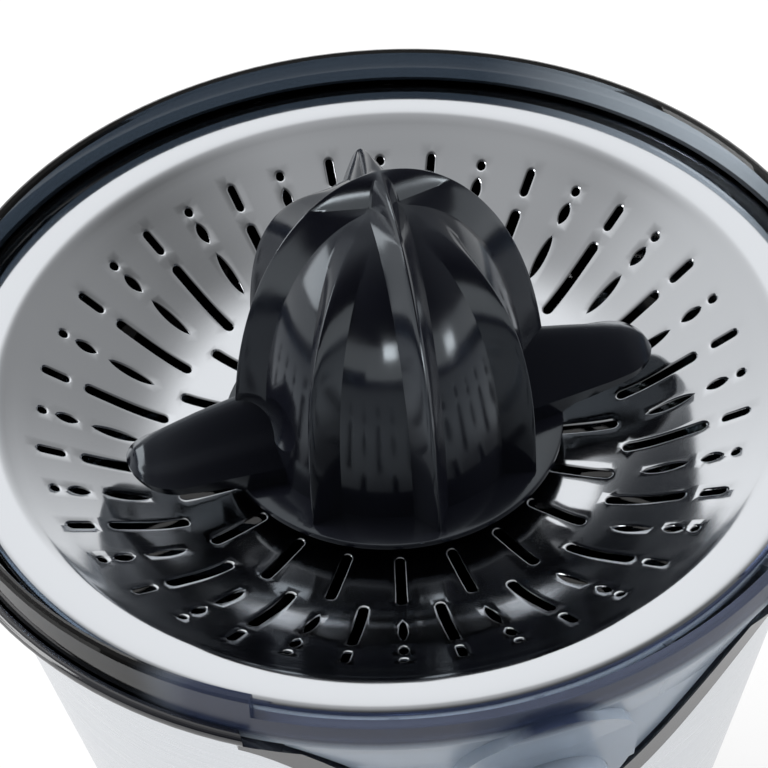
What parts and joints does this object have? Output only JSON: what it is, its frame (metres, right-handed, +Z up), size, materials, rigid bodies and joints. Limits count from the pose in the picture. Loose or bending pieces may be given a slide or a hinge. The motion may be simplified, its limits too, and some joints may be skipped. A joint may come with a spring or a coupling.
{
  "type": "citrus press juicer",
  "caption": "Motor driven citrus press: tapered steel housing, clear bowl with front spout, perforated strainer and a ribbed press cone that starts it when pushed down.",
  "frame": {"origin": "centre of the foot ring on the table, below the axis of the press cone", "axes": "+Z up along the cone's axis, the spout points to -Y"},
  "size_m": [0.2108, 0.2478, 0.2503],
  "materials": {
    "rubber_grey": "matt rubber",
    "black_gloss": "high gloss",
    "steel_brushed": "fine vertical brushing",
    "steel_polished": "polished",
    "screw_steel": "plain bright",
    "smoke_clear": "clear smoke tint",
    "inner_grey": "moulded",
    "dark_matt": "moulded",
    "gear_ivory": "moulded acetal",
    "bronze": "sintered",
    "motor_zinc": "zinc plated",
    "switch_red": "moulded"
  },
  "bodies": {
    "base": {"foot_ring": "rubber_grey", "base_ring": "black_gloss", "base_plate": "dark_matt", "base_screws": "screw_steel", "cord_gland": "rubber_grey", "steel_housing": "steel_brushed", "rim_trim": "black_gloss", "deck": "dark_matt", "deck_screws": "screw_steel", "shaft_bush": "bronze", "gear_frame": "inner_grey", "gear_cover": "inner_grey", "idler_pin": "screw_steel", "motor_can": "motor_zinc", "motor_cap": "dark_matt", "motor_screws": "screw_steel", "switch_body": "dark_matt"},
    "rotor": {"motor_rotor": "screw_steel"},
    "compound": {"compound_gear": "gear_ivory"},
    "output": {"output_gear": "gear_ivory", "return_spring": "screw_steel"},
    "shaft": {"drive_shaft": "screw_steel"},
    "plunger": {"switch_plunger": "switch_red"},
    "bowl": {"juice_bowl": "smoke_clear", "bowl_webs": "smoke_clear", "spout_tube": "smoke_clear"},
    "nozzle": {"tilting_nozzle": "smoke_clear"},
    "strainer": {"strainer": "steel_polished"},
    "cone": {"press_cone": "black_gloss"}
  },
  "joints": [
    {"name": "output_spin", "type": "hinge", "parent": "base", "child": "output", "pos_m": [0, 0, 0.107], "axis": [0, 0, 1], "continuous": true},
    {"name": "compound_spin", "type": "hinge", "parent": "base", "child": "compound", "pos_m": [0.02544, 0.02755, 0.097], "axis": [0, 0, 1], "continuous": true},
    {"name": "rotor_spin", "type": "hinge", "parent": "base", "child": "rotor", "pos_m": [0, 0.038, 0.067], "axis": [0, 0, 1], "continuous": true},
    {"name": "shaft_press", "type": "slide", "parent": "output", "child": "shaft", "axis": [0, 0, -1], "range_m": [0, 0.003], "stiffness_N_per_m": 1500, "springref_m": -0.006, "deforming": ["return_spring"]},
    {"name": "plunger_press", "type": "slide", "parent": "base", "child": "plunger", "axis": [0, 0, -1], "range_m": [0, 0.003]},
    {"name": "cone_lift", "type": "slide", "parent": "shaft", "child": "cone", "axis": [0, 0, 1], "range_m": [0, 0.15]},
    {"name": "strainer_lift", "type": "slide", "parent": "bowl", "child": "strainer", "axis": [0, 0, 1], "range_m": [0, 0.06]},
    {"name": "bowl_lift", "type": "slide", "parent": "base", "child": "bowl", "axis": [0, 0, 1], "range_m": [0, 0.045]},
    {"name": "nozzle_tilt", "type": "hinge", "parent": "bowl", "child": "nozzle", "pos_m": [0, -0.118, 0.1602], "axis": [-1, 0, 0], "range_deg": [0, 50]}
  ],
  "couplings": [
    {"joint": "compound_spin", "follows": "output_spin", "ratio": -4},
    {"joint": "rotor_spin", "follows": "output_spin", "ratio": 16},
    {"joint": "plunger_press", "follows": "shaft_press", "ratio": 1},
    {"joint": "strainer_lift", "follows": "cone_lift", "ratio": 0.4},
    {"joint": "bowl_lift", "follows": "cone_lift", "ratio": 0.3}
  ]
}
